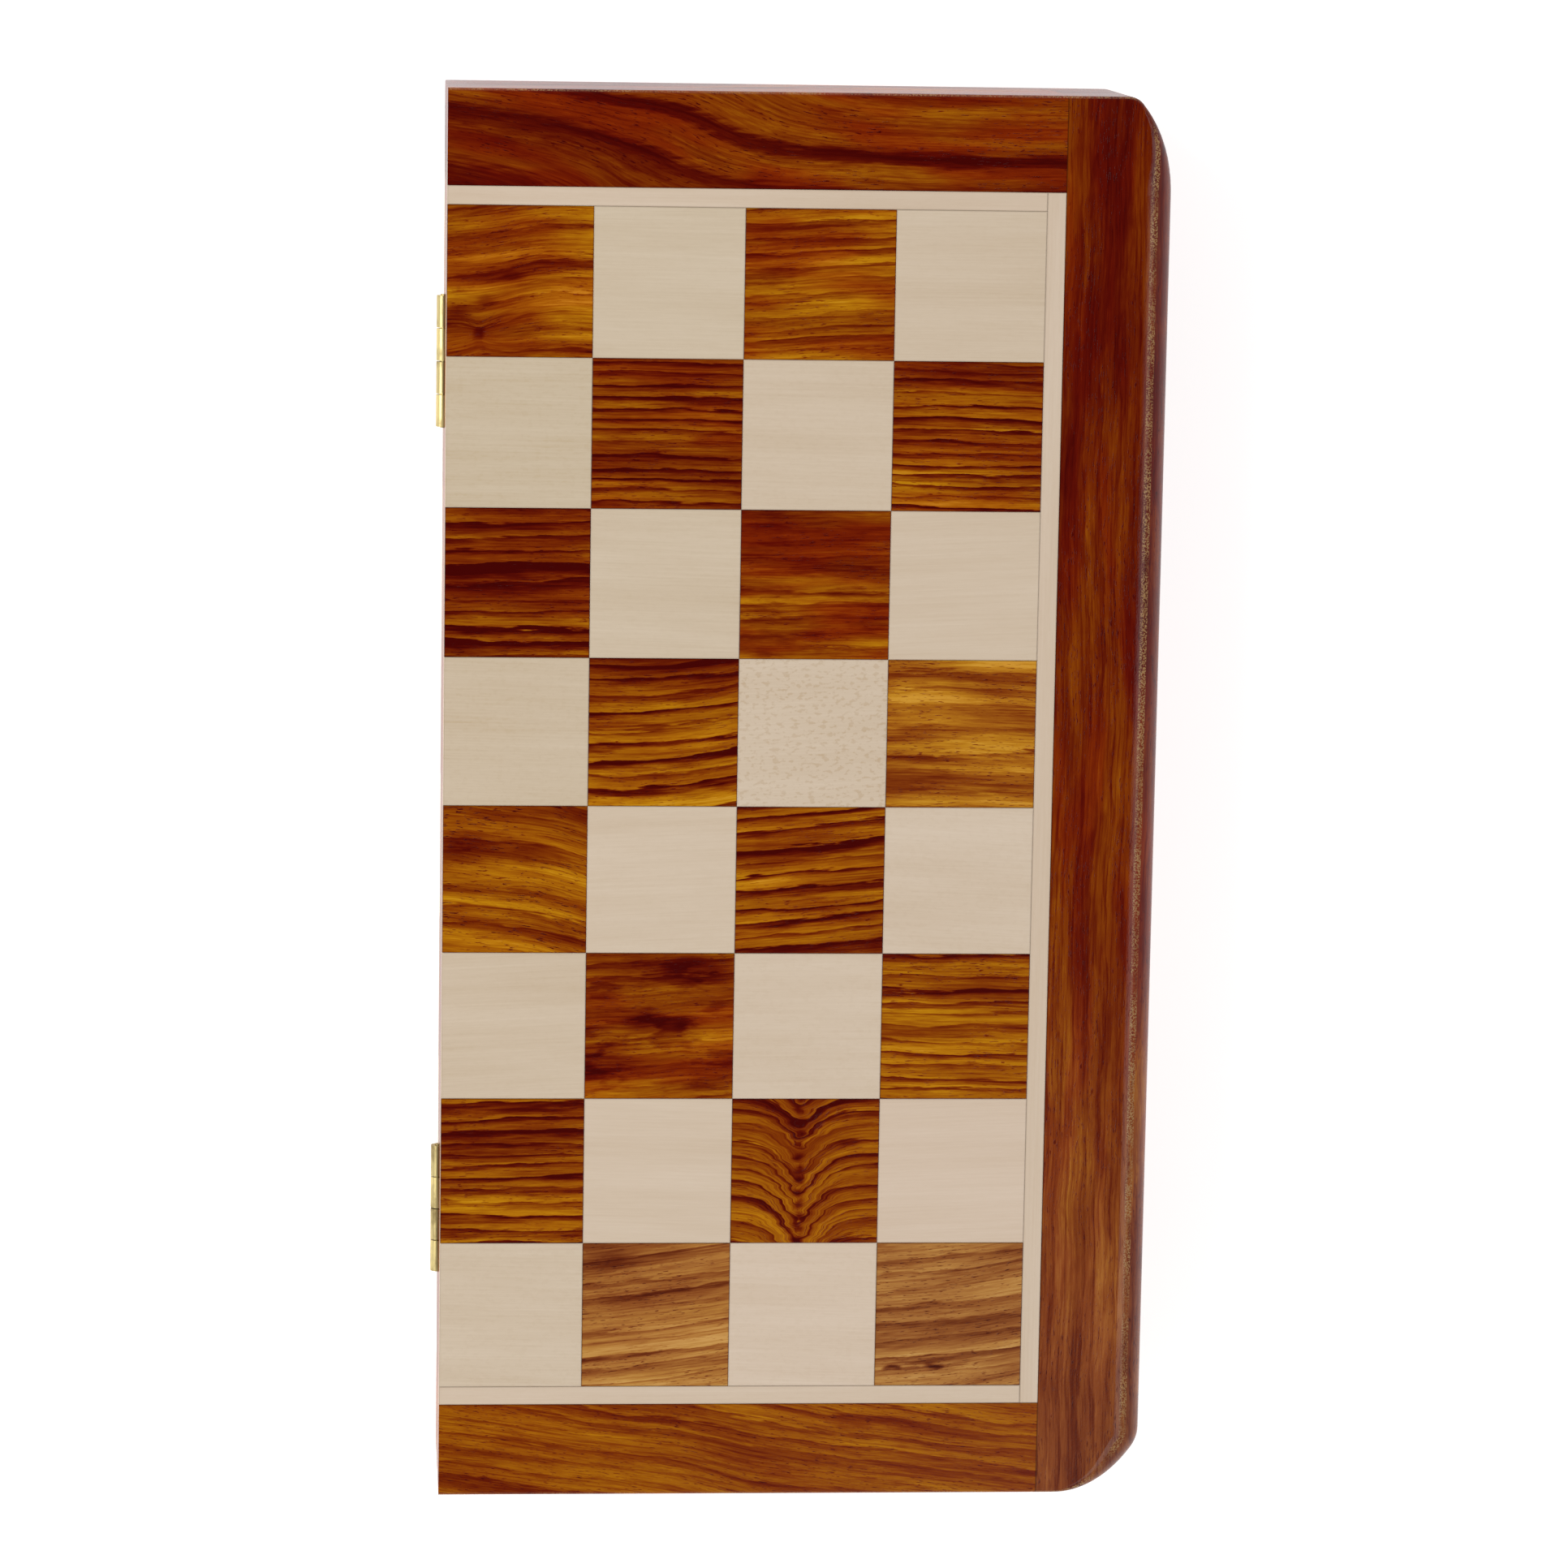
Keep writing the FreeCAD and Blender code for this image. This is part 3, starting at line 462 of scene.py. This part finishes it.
def piece(name, node, material, blocks):
    """One visible piece that stands for a CAD node, of (points, quads, attributes) blocks in mm."""
    starts = np.cumsum([0] + [len(points) for points, _, _ in blocks[:-1]])
    points = np.concatenate([points for points, _, _ in blocks])
    quads = np.concatenate([quads + start for start, (_, quads, _) in zip(starts, blocks)])
    mesh = bpy.data.meshes.new(name)
    mesh.from_pydata((points * MM).tolist(), [], quads.tolist())
    mesh.update()
    mesh.shade_smooth()
    mesh.set_sharp_from_angle(angle=radians(50))
    for key in blocks[0][2]:
        values = np.concatenate([attributes[key] for _, _, attributes in blocks]).astype(np.float32)
        mesh.attributes.new(key, "FLOAT_VECTOR", "POINT").data.foreach_set("vector", values.ravel())
    made = bpy.data.objects.new(name, mesh)
    bpy.context.scene.collection.objects.link(made)
    mesh.materials.append(material)
    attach(made, node_body(node))
    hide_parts(node)
    return made


def node_body(node):
    """The body that a CAD node rides on."""
    return next(body for body, names in frame["record"]["behaviour"]["bodies"].items() if node in names)


def box_mm(node):
    """A CAD node's lowest and highest corners in millimetres."""
    low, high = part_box(node)
    return np.array(low) / MM, np.array(high) / MM


# --- the figure of the wood ---------------------------------------------------------------------------

PLAIN = dict(tilt=0.0, bow=0.0, wave=0.0, length=22.0, phase=0.0, tone=0.34, bands=0.8, stripes=1.0,
             red=0.35, tan=0.0, pitch=2.3, pores=0.8, blotch=0.0, lean=(0.0, 0.0),
             knot=None, crotch=None, stains=(), crack=None)

# How each rosewood square of the upper half was sawn, by (row from the head, file from the fold).
FIGURES = {
    (0, 0): dict(tilt=5, bow=-0.6, wave=0.25, length=25, tone=0.19, bands=1.2, stripes=0.5, red=0.7,
                 pitch=3.9, lean=(-0.08, 0.10), knot=(-0.55, -0.72, 1.6),
                 stains=[(-0.85, -0.42, 1.3, 0.40), (-0.45, -0.28, 1.1, 0.25), (-0.1, 0.05, 1.3, 0.15),
                         (0.6, -0.55, 3.5, -0.12)]),
    (0, 2): dict(tilt=3, wave=0.15, length=27, phase=1.0, tone=0.25, bands=0.9, stripes=0.6, red=0.85,
                 pitch=3.1, stains=[(-0.5, 0.12, 2.6, 0.18)]),
    (1, 1): dict(tone=0.35, stripes=1.2, red=0.75, pitch=2.5),
    (1, 3): dict(tilt=-1, tone=0.35, stripes=1.1, red=0.65, pitch=2.4),
    (2, 0): dict(tone=0.40, stripes=1.3, red=0.55, pitch=3.2),
    (2, 2): dict(tilt=1, wave=0.1, length=20, tone=0.30, bands=1.0, stripes=0.4, red=1.0, pitch=3.4,
                 blotch=0.3, lean=(0.0, 0.10)),
    (3, 1): dict(tilt=4, bow=0.8, tone=0.26, stripes=1.15, red=0.3, pitch=3.5, lean=(0.0, 0.14)),
    (3, 3): dict(tilt=-1, bow=-0.2, tone=0.24, bands=1.1, stripes=0.45, red=0.2, pitch=4.2, tan=0.1,
                 pores=1.1, lean=(0.0, -0.06)),
    (4, 0): dict(tilt=-8, bow=-1.0, wave=0.2, tone=0.22, bands=1.0, stripes=0.3, red=0.25, pitch=3.4,
                 pores=1.6, stains=[(-0.7, 0.45, 3.5, 0.20), (0.2, 0.35, 3.0, 0.12)]),
    (4, 2): dict(tilt=5, tone=0.26, stripes=1.1, red=0.35, pitch=3.1),
    (5, 1): dict(tilt=3, wave=0.15, length=18, tone=0.33, stripes=0.35, red=0.9, blotch=0.5, pitch=3.4,
                 stains=[(0.35, 0.85, 2.0, 0.40), (0.75, 0.70, 2.4, 0.45), (-0.2, 0.03, 2.2, 0.50),
                         (0.35, 0.0, 1.5, 0.30), (-0.75, -0.45, 4.5, 0.28)]),
    (5, 3): dict(tilt=-1, wave=0.08, length=20, tone=0.24, stripes=0.85, red=0.2, pitch=2.7, pores=1.0),
    (6, 0): dict(tilt=1, tone=0.26, stripes=1.1, red=0.25, pitch=2.7),
    (6, 2): dict(tone=0.28, bands=0.6, stripes=1.0, red=0.2, pitch=3.2, crotch=(-0.08, 10.0, 5.6)),
    # At the foot of the board the tan of these two squares is partly their own tone and partly painted sheen.
    (7, 1): dict(tilt=7, bow=0.3, tone=0.20, stripes=0.45, red=0.3, tan=0.55, pitch=3.2, pores=1.2,
                 lean=(0.0, 0.06), stains=[(-0.55, 0.8, 2.2, 0.30), (-0.8, 0.65, 2.6, 0.15)]),
    (7, 3): dict(tilt=7, bow=0.6, tone=0.23, stripes=0.65, red=0.1, tan=0.7, pitch=3.6, pores=1.2,
                 crack=(-0.74, -1.0, 0.1)),
}

rng = np.random.default_rng(21)


def lower_figure():
    """A rosewood square of the lower half, cut from the same boards: the same traits, drawn at random."""
    return dict(tilt=rng.uniform(-8, 8), bow=rng.uniform(-1, 1.2), wave=rng.uniform(0, 0.7),
                length=rng.uniform(12, 26), tone=rng.uniform(0.25, 0.43), stripes=rng.uniform(0.5, 1.3),
                red=rng.uniform(0.1, 0.8), tan=rng.choice([0, 0, 0, 0.5]), pitch=rng.uniform(2.1, 3.2),
                pores=rng.uniform(0.6, 1.2), blotch=rng.choice([0, 0, 0, 0.5]))


def glue_line(inset):
    """How dark the glue line is at each distance from a wall: (1 - distance / GLUE)^1.5, from 1 to 0."""
    return np.clip(1 - inset / GLUE, 0, 1) ** 1.5


def figured(points, inset, low, high, figure):
    """The grain of one rosewood block as attributes.

    u and v run from the block's middle in millimetres, along X and along Y, and the places of a figure's
    features are given in half squares. The rings' height is v turned by the tilt, less a bow that grows with
    u squared and a sine wave along the grain. A knot of size k draws them in by 2.2 * dv * k^2 / (distance^2
    + k^2). A crotch pulls them down by depth * exp(-(|u| / width)^1.5) and leaves a crooked dark middle. A
    stain darkens the wood by amount * exp(-(du^2 / 4 + dv^2) / size^2). A crack is a dark line that opens
    where sin(0.683 * u + 3.62) + 0.1 is over 0, which is every 9.2 mm. lean darkens the block to one side.
    """
    u = points[:, 0] - (low[0] + high[0]) / 2
    v = points[:, 1] - (low[1] + high[1]) / 2
    half = (high[0] - low[0]) / 2
    turn = radians(figure["tilt"])
    along = u * np.cos(turn) + v * np.sin(turn)
    across = v * np.cos(turn) - u * np.sin(turn)
    across = across - figure["bow"] * (u / half) ** 2
    across = across - figure["wave"] * np.sin(2 * np.pi * along / figure["length"] + figure["phase"])
    tone = figure["tone"] + figure["lean"][0] * u / half + figure["lean"][1] * v / half
    if figure["knot"]:
        ku, kv, size = figure["knot"]
        du, dv = u - ku * half, v - kv * half
        far = du ** 2 + dv ** 2
        across = across + 2.2 * dv * size ** 2 / (far + size ** 2)
        tone = tone + 0.55 * np.exp(-far / (0.35 * size ** 2))
    if figure["crotch"]:
        middle, depth, width = figure["crotch"]
        wander = 0.35 * np.sin(v * 1.7) + 0.2 * np.sin(v * 3.9 + 1)
        away = np.abs(u - middle * half - wander)
        across = across + depth * np.exp(-(away / width) ** 1.5) * (0.75 - 0.25 * v / half)
        across = across + 0.5 * np.sin(v * 2.6) * np.exp(-(away / 1.5) ** 2)
        tone = tone + 0.22 * np.exp(-(away / 0.9) ** 2) * (1 + np.sin(v * 2.4 + 0.6))
    smoke = np.zeros(len(points))
    for su, sv, size, amount in figure["stains"]:
        smoke += amount * np.exp(-((u - su * half) ** 2 / 4 + (v - sv * half) ** 2) / size ** 2)
    tone = tone + 0.7 * smoke
    if figure["crack"]:
        level, start, end = figure["crack"]
        opening = np.clip(np.sin(u * 0.683 + 3.62) + 0.1, 0, 1) * (u < end * half) * (u > start * half)
        wander = 0.25 * np.sin(u * 0.9) + 0.05 * (u + 8)
        tone = tone + 0.8 * opening * np.exp(-((v - level * half - wander) / 0.4) ** 2)
    shift = rng.uniform(-LOG, LOG, 3)
    count = len(points)
    deep = points[:, 2] - high[2]
    seam = glue_line(inset)
    return {
        "grain": np.stack([along + shift[0], across + shift[1], deep + shift[2]], 1),
        "tone": np.stack([tone, np.full(count, figure["bands"]), np.full(count, figure["stripes"])], 1),
        "habit": np.tile([figure["red"], figure["tan"], figure["pitch"]], (count, 1)),
        "extra": np.stack([np.full(count, figure["pores"]), figure["blotch"] + 2.5 * smoke,
                           0.75 * seam], 1),
    }


def maple_grain(points, inset, lengthways, tone, pink, fleck, tilt, seam_depth):
    """The grain of one maple block as attributes: straight, at a small tilt, its own place in the log."""
    along, across = points[:, lengthways], points[:, 1 - lengthways]
    turn = radians(tilt)
    shift = rng.uniform(-LOG, LOG, 3)
    count = len(points)
    grain = [along * np.cos(turn) + across * np.sin(turn), across * np.cos(turn) - along * np.sin(turn),
             points[:, 2]]
    seam = glue_line(inset)
    return {
        "grain": np.stack(grain, 1) + shift,
        "tone": np.tile([tone, pink, fleck], (count, 1)),
        "extra": np.stack([np.zeros(count), np.zeros(count), seam_depth * seam], 1),
    }


# --- the board ----------------------------------------------------------------------------------------

SQUARES_WOOD = rosewood_for_blocks()
MAPLE = lacquered_maple()

for rank in range(1, ROWS + 1):
    upper = rank <= ROWS // 2
    file_from_fold = ROWS // 2 - rank if upper else rank - ROWS // 2 - 1
    for wood in ("dark", "light"):
        node = f"rank_{rank}_{wood}_squares"
        low, high = box_mm(node)
        sign = 1 if upper else -1
        blocks = []
        for row in range(ROWS):
            even = (row + file_from_fold) % 2 == 0
            is_dark = even if upper else not even
            if is_dark != (wood == "dark"):
                continue
            head_edge = (ROWS / 2 - row) * SQUARE
            corner_low = np.array([low[0], head_edge - SQUARE, low[2]])
            corner_high = np.array([high[0], head_edge, high[2]])
            # A maple square draws a figure too and leaves it unused: without it all later grain would shift.
            chosen = FIGURES[(row, file_from_fold)] if upper and is_dark else lower_figure()
            close = "crotch" in chosen or "crack" in chosen
            cell = LIGHT_CELL if not is_dark else FINE_CELL if close else DARK_CELL
            points, quads, inset = eased_block(corner_low, corner_high, 2, sign, cell, EASE)
            if is_dark:
                looks = figured(points, inset, corner_low, corner_high, {**PLAIN, **chosen})
            else:
                fleck = 1.0 if upper and (row, file_from_fold) == (3, 2) else rng.uniform(0, 0.25)
                # Row by row towards the foot the maple turns paler and pinker: painted sheen of the light at
                # the foot, on top of a random tone.
                tone = rng.uniform(0.28, 0.34) + 0.10 * (file_from_fold == 0) - 0.022 * row
                pink = np.clip(0.25 + 0.12 * file_from_fold + 0.05 * row + rng.uniform(-0.1, 0.1), 0, 1)
                looks = maple_grain(points, inset, 0, tone, pink, fleck, rng.uniform(-3, 3), 0.42)
            blocks.append((points, quads, looks))
        name = f"rank_{rank}_{'rosewood' if wood == 'dark' else 'maple'}_blocks"
        slot = "dark_squares" if wood == "dark" else "light_squares"
        piece(name, node, SQUARES_WOOD if wood == "dark" else MAPLE, blocks)

for half, sign in (("upper", 1), ("lower", -1)):
    for string, lengthways in (("head", 0), ("foot", 0), ("side", 1)):
        node = f"{half}_{string}_string"
        low, high = box_mm(node)
        points, quads, inset = eased_block(low, high, 2, sign, LIGHT_CELL, EASE)
        looks = maple_grain(points, inset, lengthways, 0.24, 0.85, 0.1, 0.0, 0.5)
        piece(f"{half}_{string}_maple_line", node, MAPLE, [(points, quads, looks)])

# --- the tray linings ---------------------------------------------------------------------------------

FELT = wool_felt()


def felt_ripple(seed):
    """A gentle wave of the glued felt, 0 to twice FELT_WAVE deep: the mean of three random sines."""
    draw = np.random.default_rng(seed)
    waves = [(draw.uniform(-1, 1) / FELT_LENGTH, draw.uniform(-1, 1) / FELT_LENGTH, draw.uniform(0, 6.28))
             for _ in range(3)]
    return lambda u, v: FELT_WAVE * (1 + sum(np.sin(a * u + b * v + c) for a, b, c in waves) / 3)


for half, up in (("lower", 1), ("upper", -1)):
    linings = [("floor", 2, up, f"{half}_backing_panel"), ("hinge_wall", 0, 1, f"{half}_hinge_rail"),
               ("stile_wall", 0, -1, f"{half}_outer_stile"), ("head_wall", 1, -1, f"{half}_head_rail"),
               ("foot_wall", 1, 1, f"{half}_foot_rail")]
    for seed, (lining, axis, sign, under) in enumerate(linings):
        node = f"{half}_{lining}_felt"
        low, high = box_mm(node)
        ripple = felt_ripple(seed + 3)
        points, quads, _ = eased_block(low, high, axis, sign, FELT_CELL, FELT_EASE, ripple)
        felt = piece(f"{half}_{lining}_lining", node, FELT, [(points, quads, {})])

# --- the frame and its fittings -----------------------------------------------------------------------

# The last two entries of RAIL and STILE place the light tan painted highlight on the round-over and set how
# strong it is.
RAIL = dict(tone=0.30, bands=0.45, stripes=0.40, red=0.2, tan=0.0, pitch=3.4, pores=1.2, blotch=0.12,
            wander=7.0, slope=0.14, rim=(21.35, 21.92), painted_highlight_amount=0.7)
HEAD_RAIL = {**RAIL, "tone": 0.36, "bands": 0.40, "stripes": 0.10, "red": 1.0, "wander": 3.5,
             "sweep": (6.5, -22, 145, 1.5, 23), "droop": (-40.0, 0.12),
             "slope": 0.0, "streaking": 0.48, "fray": 3.0,
             "streaks": [(118, 1.0), (165, 0.8), (126, 0.95), (128.5, 0.55), (133.5, 0.6), (136, 0.85),
                         (137.6, 1.0), (139.2, 0.5), (141.2, 0.2), (143.0, 0.22), (144.4, 0.95),
                         (145.3, 1.0), (146.6, 0.4), (148.2, 0.0), (155, 0.1), (157.5, 0.65)]}
STILE = dict(tone=0.43, bands=0.6, stripes=0.22, red=0.9, tan=0.0, pitch=3.4, pores=0.8, blotch=0.15,
             wander=5.0, slope=0.0, rim=(21.3, 21.92), painted_highlight_amount=1.0)
# Darker towards the head and paler tan towards the foot: partly the stile's own tone and partly painted sheen
# of the light at the foot.
STILE_TONE_AND_PAINTED_SHEEN = {**STILE, "fade": (-130, 130, 0.15), "pale": (-10, -150, 0.5)}
SWIRLED = rosewood_for_frame("lacquered_rosewood_swirled_rail", "x", HEAD_RAIL, (31, 57, 5), ("x", "y"))
STRAIGHT = rosewood_for_frame("lacquered_rosewood_rail", "x", RAIL, (140, 210, 64), ("x", "y"))
UPRIGHT = rosewood_for_frame("lacquered_rosewood_stile", "y", STILE_TONE_AND_PAINTED_SHEEN, (12, 88, 7), ("x",))
INNER = rosewood_for_frame("lacquered_rosewood_hinge_rail", "y", STILE, (300, 20, 90))
BRASS = rolled_brass("satin_rolled_brass", 0.0)
DULL_BRASS = rolled_brass("tarnished_rolled_brass", 0.3)
SCREW_BRASS = rolled_brass("turned_screw_brass", -0.25)
NICKEL = nickel_plate()
PLY = birch_plywood()

FINISHES = [("head_rail", SWIRLED), ("foot_rail", STRAIGHT), ("outer_stile", UPRIGHT), ("hinge_rail", INNER),
            ("backing_panel", PLY), ("magnets", NICKEL), ("upper_leaf", BRASS), ("lower_leaf", DULL_BRASS),
            ("screws", SCREW_BRASS), ("pin", DULL_BRASS)]
for name, node in NODES.items():
    for ending, material in FINISHES:
        if name.endswith(ending):
            for slot in node.material_slots:
                slot.material = material

# --- the studio ---------------------------------------------------------------------------------------

def studio_light(name, place, target, size, watts):
    """A white soft box that looks from place at target; size is its width and height in metres."""
    lamp = bpy.data.lights.new(name, "AREA")
    lamp.shape = "RECTANGLE"
    lamp.size, lamp.size_y = size
    lamp.energy = watts
    box = bpy.data.objects.new(name, lamp)
    box.location = place
    box.rotation_euler = (Vector(target) - Vector(place)).to_track_quat("-Z", "Y").to_euler()
    bpy.context.scene.collection.objects.link(box)


floor_mesh = bpy.data.meshes.new("studio_floor")
floor_mesh.from_pydata([(x * FLOOR_HALF * MM, y * FLOOR_HALF * MM, FLOOR_LEVEL * MM)
                        for x, y in ((-1, -1), (1, -1), (1, 1), (-1, 1))], [], [(0, 1, 2, 3)])
floor = bpy.data.objects.new("studio_floor", floor_mesh)
bpy.context.scene.collection.objects.link(floor)
paper, paper_tree, paper_surface = empty_material("white_studio_paper")
connect(paper_tree, paper_surface, {"Base Color": (0.92, 0.92, 0.92, 1), "Roughness": 0.9,
                                    "Specular IOR Level": 0.1, "Emission Color": (1, 1, 1, 1),
                                    "Emission Strength": 0.6})
floor_mesh.materials.append(paper)

studio_light("left_soft_box", (-1.0, 0.25, 1.0), (0, 0, 0), (1.2, 0.8), 12)
studio_light("right_strip", (0.66, -0.25, 1.1), (0, 0, 0), (1.4, 0.4), 3.4)
studio_light("near_soft_box", (0.30, -0.64, 1.3), (0.03, -0.05, 0), (0.5, 0.3), 0.25)

world = bpy.data.worlds.new("studio")
bpy.context.scene.world = world
world.use_nodes = True
sky = world.node_tree
height = add(sky, "SeparateXYZ", {0: add(sky, "TexCoord").outputs["Generated"]}).outputs[2]
glow = add(sky, "ValToRGB", {0: height}, [(0.0, "#FFFFFF"), (1.0, "#3A3A3A"), (0.35, "#F0F0F0"),
                                          (0.75, "#A0A0A0"), (0.93, "#505050")])
connect(sky, sky.nodes["Background"], {"Color": glow, "Strength": 0.86})

bpy.context.scene.view_settings.view_transform = "Standard"

camera = bpy.data.cameras.new("camera")
camera.lens = 130.43
camera.sensor_width = 36
camera.clip_end = 50
eye = bpy.data.objects.new("camera", camera)
eye.location = (-0.09475, 0.1971, 1.2436)
eye.rotation_euler = Euler([radians(a) for a in (-9.143, -4.176, 0.942)])
bpy.context.scene.collection.objects.link(eye)
bpy.context.scene.camera = eye
